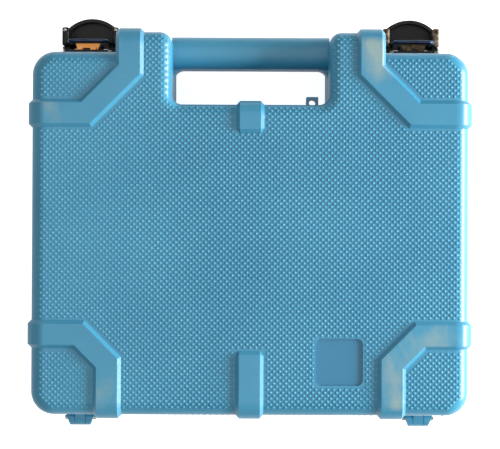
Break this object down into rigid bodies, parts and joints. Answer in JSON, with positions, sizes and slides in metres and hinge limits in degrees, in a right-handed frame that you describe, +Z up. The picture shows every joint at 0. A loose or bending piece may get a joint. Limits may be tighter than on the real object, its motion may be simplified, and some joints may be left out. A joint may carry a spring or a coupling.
{
  "type": "microchip scanner in carry case",
  "caption": "Hand-held microchip scanner bedded in foam inside a blow-moulded double-wall carry case with handle, bumper straps, pinned hinges and draw latches.",
  "frame": {"origin": "on the surface the case lies on, under the middle of its outline", "axes": "+X right, +Y towards the handle and latches, +Z up out of the lid's face"},
  "size_m": [0.2982, 0.2834, 0.0895],
  "materials": {
    "case_shell": "blow-moulded polyethylene, satin, grained face",
    "pin_steel": "plain drawn steel",
    "latch_black": "moulded black nylon, satin",
    "bail_steel": "bright zinc plated wire",
    "strike_zinc": "yellow passivated zinc plated steel",
    "foam_dark": "charcoal polyurethane foam",
    "scanner_body": "moulded ABS, fine spark texture",
    "scanner_button": "moulded silicone rubber",
    "window_clear": "clear acrylic pane",
    "display_panel": "liquid crystal display, unlit",
    "board_green": "solder-masked circuit board",
    "coil_copper": "enamelled copper winding",
    "cell_wrap": "plain shrink-sleeved cell",
    "buzzer_black": "moulded buzzer can"
  },
  "bodies": {
    "base": {"lower_shell": "case_shell", "hinge_pin_left": "pin_steel", "hinge_pin_right": "pin_steel", "latch_pivot_pin_left": "pin_steel", "latch_pivot_pin_right": "pin_steel", "foam_base_pad": "foam_dark", "foam_block": "foam_dark", "scanner_lower_housing": "scanner_body", "scanner_upper_housing": "scanner_body", "scanner_circuit_board": "board_green", "scanner_display_window": "window_clear", "scanner_display": "display_panel", "scanner_antenna_coil": "coil_copper", "scanner_buzzer": "buzzer_black", "scanner_battery_cells": "cell_wrap", "scanner_battery_door": "scanner_body", "scanner_housing_screws": "pin_steel"},
    "lid": {"upper_shell": "case_shell", "lid_foam": "foam_dark", "latch_keeper_left": "latch_black", "latch_keeper_right": "latch_black", "latch_strike_left": "strike_zinc", "latch_strike_right": "strike_zinc", "strike_rivets_left": "pin_steel", "strike_rivets_right": "pin_steel"},
    "lever_left": {"latch_lever_left": "latch_black"},
    "lever_right": {"latch_lever_right": "latch_black"},
    "bail_left": {"latch_bail_left": "bail_steel"},
    "bail_right": {"latch_bail_right": "bail_steel"},
    "scan_key": {"scan_button": "scanner_button"}
  },
  "joints": [
    {"name": "lid_hinge", "type": "hinge", "parent": "base", "child": "lid", "pos_m": [0, -0.1365, 0.04475], "axis": [1, 0, 0], "range_deg": [0, 180]},
    {"name": "lever_left_pivot", "type": "hinge", "parent": "base", "child": "lever_left", "pos_m": [-0.1115, 0.1177, 0.0376], "axis": [1, 0, 0], "range_deg": [0, 80]},
    {"name": "bail_left_pivot", "type": "hinge", "parent": "lever_left", "child": "bail_left", "pos_m": [-0.1115, 0.1232, 0.0251], "axis": [1, 0, 0], "range_deg": [-68, 0]},
    {"name": "lever_right_pivot", "type": "hinge", "parent": "base", "child": "lever_right", "pos_m": [0.1115, 0.1177, 0.0376], "axis": [1, 0, 0], "range_deg": [0, 80]},
    {"name": "bail_right_pivot", "type": "hinge", "parent": "lever_right", "child": "bail_right", "pos_m": [0.1115, 0.1232, 0.0251], "axis": [1, 0, 0], "range_deg": [-68, 0]},
    {"name": "scan_button_travel", "type": "slide", "parent": "base", "child": "scan_key", "axis": [0, 0, -1], "range_m": [0, 0.001], "stiffness_N_per_m": 800}
  ],
  "couplings": [
    {"joint": "bail_left_pivot", "follows": "lever_left_pivot", "ratio": -0.85},
    {"joint": "bail_right_pivot", "follows": "lever_right_pivot", "ratio": -0.85}
  ]
}
